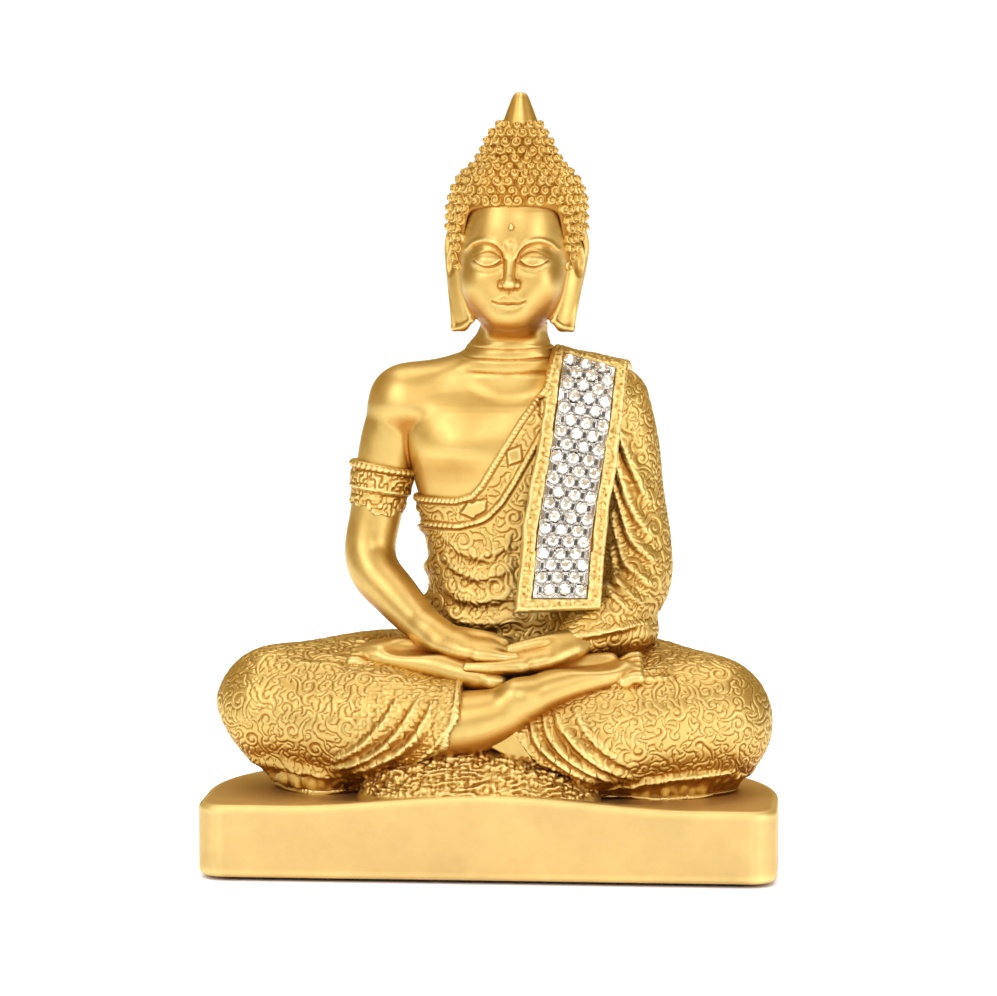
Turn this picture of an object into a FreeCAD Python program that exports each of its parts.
"""Seated buddha statue, nine inches tall: a figure of cast, gold-painted resin pieces on a plinth,
with a strip of imitation rhinestones glued to the hanging end of its robe.

Frame, in millimetres: +Z up, +X to the viewer's right, the figure faces -Y. The origin is the middle
of the statue's underside. Left and right in node names are the figure's own.
"""
import FreeCAD
import Part
import math
import os

V = FreeCAD.Vector

# Driving dimensions
TOTAL_HEIGHT = 228.6          # nine inches, to the tip of the finial
PLINTH_WIDTH = 169.0
PLINTH_DEPTH = 82.0
PLINTH_TOP = 22.3
FELT_THICKNESS = 0.8
FELT_INSET = 4.0
FRONT_CORNER_RADIUS = 8.0
BACK_CORNER_ALONG_X = 44.7    # the plinth's back corners are quarter ellipses
BACK_CORNER_ALONG_Y = 54.0
EDGE_ROUND = 0.8
FIGURE_SHIFT = -2.0           # the figure's pieces are shaped 2 mm to the right of where they stand
BODY_X = 5.0                  # middle of the torso, before that shift
PEG_RADIUS = 4.0              # locating pegs cast under the legs
PEG_LENGTH = 9.0
PEG_PLACES = ((-47.0, 3.0), (54.0, 3.0))
TENON_RADIUS = 6.0            # tenon under the neck
TENON_LENGTH = 12.0
NECK_CENTRE = (6.4, 10.5)
NECK_JOINT_Z = 150.0
GLUE_GAP = 0.15               # clearance round each peg and tenon
STONE_DIAMETER = 3.8
STONE_HEIGHT = 1.9
STONE_PITCH_ACROSS = 4.67
STONE_PITCH_ALONG = 3.55
STONE_ROWS = 20
STONE_COLUMNS = 3
STRIP_WIDTH = 15.8
SASH_WIDTH = 25.0
SASH_THICKNESS = 2.6
SASH_LIP = 0.9                # height of the sash's raised border over its bed
NET_THICKNESS = 0.5
NET_HOLE_WIDTH, NET_HOLE_LENGTH = 0.9, 1.2
GLUE_THICKNESS = 0.2

DOME_STEPS = ((0.45, 0.89), (0.8, 0.6), (0.97, 0.24))   # distance and radius, as shares of the end radius


def closed_wire(points):
    """A smooth closed curve through the points."""
    curve = Part.BSplineCurve()
    curve.interpolate(points, PeriodicFlag=True)
    return Part.Wire([curve.toShape()])


def oval(centre, across, up, half_across, half_up, squareness=2.0, count=12):
    """A closed curve about centre: an ellipse at squareness 2, and boxier above that."""
    share = 2.0 / squareness
    points = []
    for i in range(count):
        angle = 2.0 * math.pi * i / count
        c, s = math.cos(angle), math.sin(angle)
        a = half_across * math.copysign(abs(c) ** share, c)
        b = half_up * math.copysign(abs(s) ** share, s)
        points.append(centre + across * a + up * b)
    return closed_wire(points)


def flat_loft(axis, stations, squareness=2.0):
    """A solid through ovals that all stand square to one axis. Each station is the place along the
    axis, the oval's centre on the other two axes, and its half sizes along them."""
    wires = []
    for place, c1, c2, h1, h2 in stations:
        if axis == "X":
            wires.append(oval(V(place, c1, c2), V(0, 1, 0), V(0, 0, 1), h1, h2, squareness))
        else:
            wires.append(oval(V(c1, c2, place), V(1, 0, 0), V(0, 1, 0), h1, h2, squareness))
    return Part.makeLoft(wires, True, False)


def limb(stations, side, flatness=1.0):
    """A solid tube through round stations (x, y, z, radius), with domed ends. side is a direction that
    the limb never runs along; flatness below 1 thins the limb square to it."""
    centres = [V(*s[:3]) for s in stations]
    radii = [s[3] for s in stations]
    last = len(stations) - 1
    rows = []
    for i, centre in enumerate(centres):
        along = (centres[min(i + 1, last)] - centres[max(i - 1, 0)]).normalize()
        rows.append((centre, along, radii[i]))
    start = [(centres[0] - rows[0][1] * (radii[0] * d), rows[0][1], radii[0] * r) for d, r in DOME_STEPS]
    end = [(centres[-1] + rows[-1][1] * (radii[-1] * d), rows[-1][1], radii[-1] * r) for d, r in DOME_STEPS]
    wires = []
    for centre, along, radius in start[::-1] + rows + end:
        across = side - along * side.dot(along)
        across.normalize()
        up = along.cross(across)
        wires.append(oval(centre, across, up, radius, radius * flatness))
    return Part.makeLoft(wires, True, False)


def ellipsoid(centre, half_sizes):
    """An ellipsoid with its axes along the frame's."""
    ball = Part.makeSphere(1.0)
    stretch = FreeCAD.Matrix()
    stretch.A11, stretch.A22, stretch.A33 = half_sizes
    ball = ball.transformGeometry(stretch)
    ball.translate(V(*centre))
    return ball


def upright_cylinder(x, y, z_low, z_high, radius):
    return Part.makeCylinder(radius, z_high - z_low, V(x, y, z_low), V(0, 0, 1))


def single(shape):
    """The largest solid of a boolean's result, without slivers."""
    return max(shape.Solids, key=lambda solid: solid.Volume)


# Plinth and felt

def plinth_outline(inset, z):
    """The plinth's plan: straight front, small front corners and long elliptical back corners."""
    half_w, half_d = PLINTH_WIDTH / 2 - inset, PLINTH_DEPTH / 2 - inset
    r = FRONT_CORNER_RADIUS - inset / 2
    ax, ay = BACK_CORNER_ALONG_X - inset, BACK_CORNER_ALONG_Y - inset
    low = r * (1 - math.sqrt(0.5))
    edges = [Part.LineSegment(V(-half_w + r, -half_d, z), V(half_w - r, -half_d, z)).toShape()]
    edges.append(Part.Arc(V(half_w - r, -half_d, z), V(half_w - low, -half_d + low, z),
                          V(half_w, -half_d + r, z)).toShape())
    edges.append(Part.LineSegment(V(half_w, -half_d + r, z), V(half_w, half_d - ay, z)).toShape())
    for side in (1, -1):
        centre = V(side * (half_w - ax), half_d - ay, z)
        if side > 0:
            edges.append(quarter_ellipse(centre, ax, ay, 0.0))
            edges.append(Part.LineSegment(V(half_w - ax, half_d, z), V(-half_w + ax, half_d, z)).toShape())
        else:
            edges.append(quarter_ellipse(centre, ax, ay, math.pi / 2))
    edges.append(Part.LineSegment(V(-half_w, half_d - ay, z), V(-half_w, -half_d + r, z)).toShape())
    edges.append(Part.Arc(V(-half_w, -half_d + r, z), V(-half_w + low, -half_d + low, z),
                          V(-half_w + r, -half_d, z)).toShape())
    return Part.Wire(edges)


def quarter_ellipse(centre, half_x, half_y, start):
    """A quarter turn of an ellipse, counter-clockwise from the start angle."""
    ellipse = Part.Ellipse(centre + V(0, half_y, 0), centre + V(-half_x, 0, 0), centre)
    # the ellipse's own angle 0 lies on its major axis, which is +Y here
    first = start - math.pi / 2
    return Part.ArcOfEllipse(ellipse, first, first + math.pi / 2).toShape()


def make_felt():
    face = Part.Face(plinth_outline(FELT_INSET, 0.0))
    return face.extrude(V(0, 0, FELT_THICKNESS))


def make_plinth():
    face = Part.Face(plinth_outline(0.0, FELT_THICKNESS))
    block = face.extrude(V(0, 0, PLINTH_TOP - FELT_THICKNESS))
    rims = [e for e in block.Edges
            if abs(e.BoundBox.ZMax - e.BoundBox.ZMin) < 1e-6]
    block = block.makeFillet(EDGE_ROUND, rims)
    for x, y in PEG_PLACES:
        depth = PEG_LENGTH + GLUE_GAP
        socket = upright_cylinder(x + FIGURE_SHIFT, y, PLINTH_TOP - depth, PLINTH_TOP + 1, PEG_RADIUS + GLUE_GAP)
        block = block.cut(socket)
    return single(block)


# Legs, feet and the robe's hem

def above_plinth(shape):
    big = 400.0
    slab = Part.makeBox(big, big, big, V(-big / 2, -big / 2, PLINTH_TOP))
    return single(shape.common(slab))


def with_peg(shape, place):
    x, y = place
    peg = upright_cylinder(x, y, PLINTH_TOP - PEG_LENGTH, PLINTH_TOP + 6, PEG_RADIUS)
    return single(shape.fuse(peg))


def make_right_leg():
    stations = [(BODY_X, 4, 41, 31, 24), (-10, 3, 42.5, 31, 25), (-25, 1, 43.5, 30, 24.5),
                (-40, -1.5, 43, 28, 23), (-53, -3.5, 42.8, 25, 21.2), (-63, -4, 44.3, 20.5, 18.6),
                (-72, -4, 45.6, 15, 14.6), (-78, -4, 46, 8.5, 8.5), (-80.4, -4, 46, 2, 2)]
    return with_peg(above_plinth(flat_loft("X", stations, 2.3)), PEG_PLACES[0])


def make_left_leg():
    stations = [(BODY_X, 4, 41, 31, 24), (20, 3, 42.5, 31, 25), (35, 1, 43.5, 30, 24.5),
                (50, -1.5, 43, 28, 23), (60, -3.5, 42.2, 25, 20.8), (69, -4, 42.5, 20, 17.8),
                (77, -4, 43, 13.5, 13.2), (81.5, -4, 43, 7.5, 7.5), (83.4, -4, 43, 2, 2)]
    return with_peg(above_plinth(flat_loft("X", stations, 2.3)), PEG_PLACES[1])


def make_hem_drape():
    """The pleated hem that fans out over the plinth in front of the shins."""
    stations = [(-36, -26, 24, 4, 3), (-30, -28, 26, 9, 6), (-15, -28, 28, 12.5, 8.5),
                (0, -28, 28.8, 12.8, 9.5), (15, -28, 28.3, 12.8, 9), (28, -28, 26.5, 9, 6.5),
                (34, -26, 24, 4, 3)]
    return above_plinth(flat_loft("X", stations, 2.6))


def make_right_foot():
    """The right shin and foot: bare, crossing in front and lying sole up on the left thigh."""
    return limb([(-14, -24, 43, 10.5), (-2, -27.5, 45.8, 8.8), (9, -28.5, 49.5, 7.2), (20, -26, 53, 7.2),
                 (31, -23, 56, 7), (42, -19.5, 58, 6.2), (49, -16, 59.5, 3.4)], V(0, 1, 0))


def make_left_foot():
    """The left foot, lying sole up on the right thigh."""
    return limb([(6, -23, 57, 4.2), (-3, -21.5, 59, 5.8), (-15, -20, 60.5, 6),
                 (-27, -17.5, 61.5, 6.2), (-36, -15, 61.5, 5.4), (-42, -13.5, 60.5, 3.2)], V(0, 1, 0))


# Torso, robe, arms and hands

TORSO_STATIONS = [(58, BODY_X, 14, 30, 19), (66, BODY_X, 13, 27, 17), (76, BODY_X, 12.5, 23.5, 15.5),
                  (88, BODY_X, 12, 22.5, 15), (100, BODY_X, 11.5, 24.5, 15.5), (112, BODY_X, 11, 28, 16),
                  (124, BODY_X, 11, 31.5, 16), (134, BODY_X, 12, 35, 15), (141, BODY_X, 13, 36, 13),
                  (145.5, BODY_X, 13, 31, 11), (148.5, 5.5, 12.5, 20, 9.5), (150, 6, 12, 13, 9)]


# The robe's edge across the chest, from the left of the neck to past the right armpit, as (x, z)
ROBE_EDGE = ((19.0, 155.0), (16.7, 142.5), (9.2, 132.2), (3.3, 122.6), (-2.6, 112.4), (-5.5, 108.2),
             (-10.0, 106.8), (-55.0, 106.4))


def chest_side():
    """The space over the robe's edge, which runs from the left of the neck down to the right armpit."""
    edge = [V(x, -60, z) for x, z in ROBE_EDGE]
    corners = [V(ROBE_EDGE[-1][0], -60, 200), V(ROBE_EDGE[0][0], -60, 200)]
    outline = Part.makePolygon(edge + corners + edge[:1])
    return Part.Face(outline).extrude(V(0, 140, 0))


def neck_socket():
    x, y = NECK_CENTRE
    return upright_cylinder(x, y, NECK_JOINT_Z - TENON_LENGTH - GLUE_GAP, NECK_JOINT_Z + 5,
                            TENON_RADIUS + GLUE_GAP)


def make_torso():
    body = flat_loft("Z", TORSO_STATIONS, 2.3)
    return single(body.common(chest_side()).cut(neck_socket()))


def make_robe():
    """The robe over the rest of the torso, a little fuller than the bare chest, with the gathered
    cloth on the left shoulder that carries the sash."""
    fuller = [(z, x, y, a + 1.2, b + 1.2) for z, x, y, a, b in TORSO_STATIONS]
    body = flat_loft("Z", fuller, 2.3)
    gathered = ellipsoid((BODY_X + 24.5, 11.5, 139), (16.5, 15, 10.5))
    return single(body.fuse(gathered).cut(chest_side()).cut(neck_socket()))


RIGHT_ARM = [(-25.5, 12.5, 136, 9.8), (-30, 12, 126, 8.8), (-32.7, 11.5, 115, 8.2), (-35, 11, 102, 7.7),
             (-36.6, 9.5, 92, 7.5), (-34.6, 6, 85.5, 7.4), (-28.5, 1, 79.6, 6.9), (-22.8, -4.5, 74.2, 6),
             (-18, -10, 69.6, 5)]
ARMLET_RANGE = (2, 4)         # stations of the right arm that the armlet lies between
ARMLET_PROUD = 1.3


def make_right_arm():
    return limb(RIGHT_ARM, V(0, 1, 0.25))


def make_armlet():
    top, low = RIGHT_ARM[ARMLET_RANGE[0]], RIGHT_ARM[ARMLET_RANGE[1] - 1]
    start, end = V(*top[:3]), V(*low[:3])
    along = (end - start).normalize()
    start, end = start + along * -1.0, end + along * -1.0
    across = V(0, 1, 0) - along * V(0, 1, 0).dot(along)
    across.normalize()
    up = along.cross(across)
    wires = [oval(place, across, up, radius, radius)
             for place, radius in ((start, top[3] + ARMLET_PROUD), (end, low[3] + ARMLET_PROUD))]
    return Part.makeLoft(wires, True, False)


def make_left_sleeve():
    return limb([(36.5, 12.5, 137.5, 10.2), (39.8, 12, 122, 10.2), (41.8, 11, 105, 10), (43.2, 9, 92, 10.6),
                 (42.2, 5, 81, 11), (36.5, -2.5, 73, 9), (30, -8.5, 69.5, 7.4)], V(0, 1, 0.25))


def make_hand(direction, wrist, palm, tips, thumb_lift):
    """An open hand lying palm up: a flat loft for palm and fingers, with the thumb on top."""
    body = limb([(*wrist, 4.6), (*palm, 5.4), ((palm[0] + tips[0]) / 2, (palm[1] + tips[1]) / 2,
                 (palm[2] + tips[2]) / 2, 4.8), (*tips, 2.6)], V(0, 1, -0.2), 0.62)
    thumb = limb([(palm[0] - direction * 2, palm[1] + 3.5, palm[2] + 1.5, 2.1),
                  (palm[0] + direction * 5, palm[1] + 4.0, palm[2] + thumb_lift, 1.9),
                  (palm[0] + direction * 12, palm[1] + 2.0, palm[2] + thumb_lift, 1.5)], V(0, 1, 0))
    return single(body.fuse(thumb))


def make_right_hand():
    return make_hand(1, (-15, -12.5, 67.5), (-6, -16.5, 66), (9, -19.5, 64.8), 2.8)


def make_left_hand():
    return make_hand(-1, (24, -13.5, 66), (14, -18, 62.8), (-4, -21, 60.8), 3.6)


# Head, hair and finial

HEAD_STATIONS = [(150, 6.4, 10.5, 10.8, 10.3), (155, 6.6, 10, 10.2, 10), (159, 6.8, 7.5, 10, 12.5),
                 (162.5, 6.9, 4.5, 11.5, 16), (168, 7, 4.5, 14, 18), (175, 7.2, 5, 15.8, 19),
                 (183, 7.4, 6, 16.6, 19.5), (191, 7.6, 7, 16.4, 19), (198, 7.8, 8, 14, 16.5),
                 (203, 8, 8, 9, 11), (205, 8, 8, 3, 4)]
HAIR_STATIONS = [(168, 7.4, 17, 17.5, 13), (176, 7.4, 14, 21, 17), (186, 7.4, 10, 22, 21),
                 (195, 7.6, 8.8, 21.5, 21), (201, 7.8, 8.3, 19.5, 19.5), (206, 8, 8, 15, 15.3),
                 (210, 8.2, 8, 12.4, 12.6), (215, 8.4, 8, 9.8, 9.9), (219, 8.6, 8, 6.2, 6.2)]
FINIAL_BASE_Z = 216.5
FINIAL_CENTRE = (8.7, 8.0)


def make_ear(side):
    """A long ear: a flat upright solid from beside the eye down to the lobe."""
    x = 7.4 + side * 17.4
    return limb([(x, 9.5, 184, 2.6), (x + side * 0.6, 9, 177, 3.2), (x - side * 0.6, 8.5, 169, 2.8),
                 (x - side * 1.4, 8, 160.5, 3.0)], V(0, 1, 0.1), 0.7)


def make_head():
    head = flat_loft("Z", HEAD_STATIONS, 2.1)
    nose = limb([(7.4, -13.2, 182, 1.6), (7.3, -15.2, 176, 2.0), (7.2, -16.2, 171.5, 2.3)], V(1, 0, 0))
    head = head.fuse(nose)
    for side in (-1, 1):
        head = head.fuse(make_ear(side))
    x, y = NECK_CENTRE
    tenon = upright_cylinder(x, y, NECK_JOINT_Z - TENON_LENGTH, NECK_JOINT_Z + 5, TENON_RADIUS)
    return single(head.fuse(tenon))


def make_hair():
    """The cap of curls and the bun, to the tops of the curls; open over the face and neck."""
    hair = flat_loft("Z", HAIR_STATIONS)
    face_side = Part.makeBox(60, 60, 60, V(7.5 - 30, -62.5, 194.5 - 60))
    return hair.cut(face_side)


def make_finial():
    """The smooth, blunt flame on top, as a turned solid."""
    x, y = FINIAL_CENTRE
    top = TOTAL_HEIGHT
    base, tip = V(x + 5.5, y, FINIAL_BASE_Z), V(x, y, top)
    side = Part.BSplineCurve()
    side.interpolate([base, V(x + 4.9, y, FINIAL_BASE_Z + 3.5), V(x + 3.7, y, FINIAL_BASE_Z + 7.0),
                      V(x + 2.3, y, top - 1.2), V(x + 1.2, y, top - 0.25), tip])
    outline = Part.Wire([Part.LineSegment(V(x, y, FINIAL_BASE_Z), base).toShape(), side.toShape(),
                         Part.LineSegment(tip, V(x, y, FINIAL_BASE_Z)).toShape()])
    return Part.Face(outline).revolve(V(x, y, 0), V(0, 0, 1), 360)


# Sash and rhinestone strip

# The middle of the sash's face: up the back, over the shoulder and down in front of the chest
SASH_PATH = [V(30.0, 27.5, 128.0), V(30.2, 25.0, 140.0), V(30.1, 18.0, 148.2), V(29.9, 9.0, 150.3),
             V(29.5, 1.5, 148.2), V(29.0, -3.0, 142.0), V(27.9, -6.4, 131.0), V(25.6, -8.8, 116.0),
             V(23.3, -11.4, 100.0), V(22.4, -14.2, 87.0), V(21.7, -16.8, 77.2)]
SASH_STEPS = 30
STRIP_MARGIN = 3.6            # border below the rhinestone strip
STRIP_LENGTH = 72.5


def sash_frames():
    """Places evenly along the sash's face, each with its directions along, across and out."""
    curve = Part.BSplineCurve()
    curve.interpolate(SASH_PATH)
    edge = curve.toShape()
    frames = []
    places = edge.discretize(Number=SASH_STEPS * 4 + 1)
    for i, point in enumerate(places):
        along = (places[min(i + 1, len(places) - 1)] - places[max(i - 1, 0)]).normalize()
        across = V(1, 0.12, 0) - along * V(1, 0.12, 0).dot(along)
        across.normalize()
        frames.append((point, along, across, across.cross(along)))
    return frames


FRAMES = sash_frames()
SASH_LENGTH = sum((FRAMES[i + 1][0] - FRAMES[i][0]).Length for i in range(len(FRAMES) - 1))
STRIP_END = 1.0 - STRIP_MARGIN / SASH_LENGTH            # as shares of the sash's length
STRIP_START = STRIP_END - STRIP_LENGTH / SASH_LENGTH


def frame_at(share):
    """The sash's frame at a share of its length."""
    place = share * (len(FRAMES) - 1)
    i = min(int(place), len(FRAMES) - 2)
    t = place - i
    blended = [FRAMES[i][k] * (1 - t) + FRAMES[i + 1][k] * t for k in range(4)]
    return [blended[0]] + [direction.normalize() for direction in blended[1:]]


def ribbon(width, low, high, first, last, steps=SASH_STEPS):
    """A slab that follows the sash, from the height low to high over its face."""
    wires = []
    for i in range(steps + 1):
        point, along, across, out = frame_at(first + (last - first) * i / steps)
        corners = [point + across * (s * width / 2) + out * h
                   for s, h in ((-1, low), (1, low), (1, high), (-1, high))]
        wires.append(Part.makePolygon(corners + corners[:1]))
    return Part.makeLoft(wires, True, False)


def make_sash():
    slab = ribbon(SASH_WIDTH, -SASH_THICKNESS, SASH_LIP, 0.0, 1.0)
    bed = ribbon(STRIP_WIDTH + 0.4, 0.0, SASH_LIP + 2, STRIP_START - 0.005, STRIP_END + 0.005)
    return single(slab.cut(bed))


def stone_places():
    """The middle of each stone on the sash's face, in staggered rows."""
    margin = (STRIP_LENGTH - (STONE_ROWS - 1) * STONE_PITCH_ALONG) / 2
    places = []
    for row in range(STONE_ROWS):
        share = STRIP_START + (margin + row * STONE_PITCH_ALONG) / SASH_LENGTH
        point, along, across, out = frame_at(share)
        shift = STONE_PITCH_ACROSS * (0.25 if row % 2 else -0.25)
        for column in range(STONE_COLUMNS):
            middle = (column - (STONE_COLUMNS - 1) / 2) * STONE_PITCH_ACROSS + shift
            places.append((point + across * middle, across, out))
    return places


def make_glue():
    return ribbon(STRIP_WIDTH, 0.0, GLUE_THICKNESS, STRIP_START, STRIP_END)


def make_net():
    """The plated net that carries the stones: a thin plate with an opening beside each stone."""
    low, high = GLUE_THICKNESS, GLUE_THICKNESS + NET_THICKNESS
    plate = ribbon(STRIP_WIDTH, low, high, STRIP_START, STRIP_END)
    holes = []
    for point, across, out in stone_places():
        along = across.cross(out)
        middle = point + across * (STONE_PITCH_ACROSS / 2) - out
        corners = [middle + across * (s * NET_HOLE_WIDTH / 2) + along * (t * NET_HOLE_LENGTH / 2)
                   for s, t in ((-1, -1), (1, -1), (1, 1), (-1, 1))]
        holes.append(Part.Face(Part.makePolygon(corners + corners[:1])).extrude(out * 4))
    return single(plate.cut(Part.makeCompound(holes)))


def make_stones():
    """One domed stone per place, standing on the net."""
    base = GLUE_THICKNESS + NET_THICKNESS
    r = STONE_DIAMETER / 2
    girdle = STONE_HEIGHT * 0.3
    solids = []
    for point, across, out in stone_places():
        foot = Part.makeCylinder(r, girdle, point + out * base, out)
        crown = Part.makeCone(r, r * 0.5, STONE_HEIGHT - girdle, point + out * (base + girdle), out)
        solids.append(foot.fuse(crown).removeSplitter().Solids[0])
    return Part.makeCompound(solids)


def main():
    os.makedirs("parts", exist_ok=True)
    right_leg, left_leg = make_right_leg(), make_left_leg()
    right_foot = single(make_right_foot().cut(right_leg).cut(left_leg))
    left_foot = single(make_left_foot().cut(right_leg).cut(left_leg).cut(right_foot))
    hem = single(make_hem_drape().cut(right_leg).cut(left_leg).cut(right_foot))
    torso = make_torso()
    robe = single(make_robe().cut(right_leg).cut(left_leg).cut(torso))
    right_arm = single(make_right_arm().cut(torso).cut(robe).cut(right_leg).cut(left_foot))
    armlet = single(make_armlet().cut(right_arm).cut(torso).cut(robe))
    sash = single(make_sash().cut(torso).cut(robe))
    sleeve = single(make_left_sleeve().cut(robe).cut(torso).cut(left_leg).cut(sash))
    left_hand = single(make_left_hand().cut(sleeve).cut(left_leg).cut(right_leg).cut(left_foot)
                       .cut(right_foot).cut(robe))
    right_hand = single(make_right_hand().cut(right_arm).cut(left_hand).cut(robe).cut(left_foot)
                        .cut(right_leg).cut(left_leg))
    head = single(make_head())
    hair = single(make_hair().cut(head))
    finial = single(make_finial().cut(hair))
    nodes = {
        "felt_pad": make_felt(), "plinth": make_plinth(), "right_leg": right_leg, "left_leg": left_leg,
        "right_foot": right_foot, "left_foot": left_foot, "hem_drape": hem, "torso": torso,
        "robe": robe, "right_arm": right_arm, "armlet": armlet, "left_sleeve": sleeve,
        "left_hand": left_hand, "right_hand": right_hand, "head": head, "hair": hair,
        "finial": finial, "sash": sash, "glue_film": make_glue(), "stone_net": make_net(),
        "stones": make_stones(),
    }
    for name, shape in nodes.items():
        if name not in ("felt_pad", "plinth"):
            shape.translate(V(FIGURE_SHIFT, 0, 0))
        solids = shape.Solids
        print(f"{name}: {len(solids)} solids, {sum(s.Volume for s in solids) / 1000:.2f} cm3, "
              f"valid {all(s.isValid() for s in solids)}")
        shape.exportStep(f"parts/{name}.step")


main()
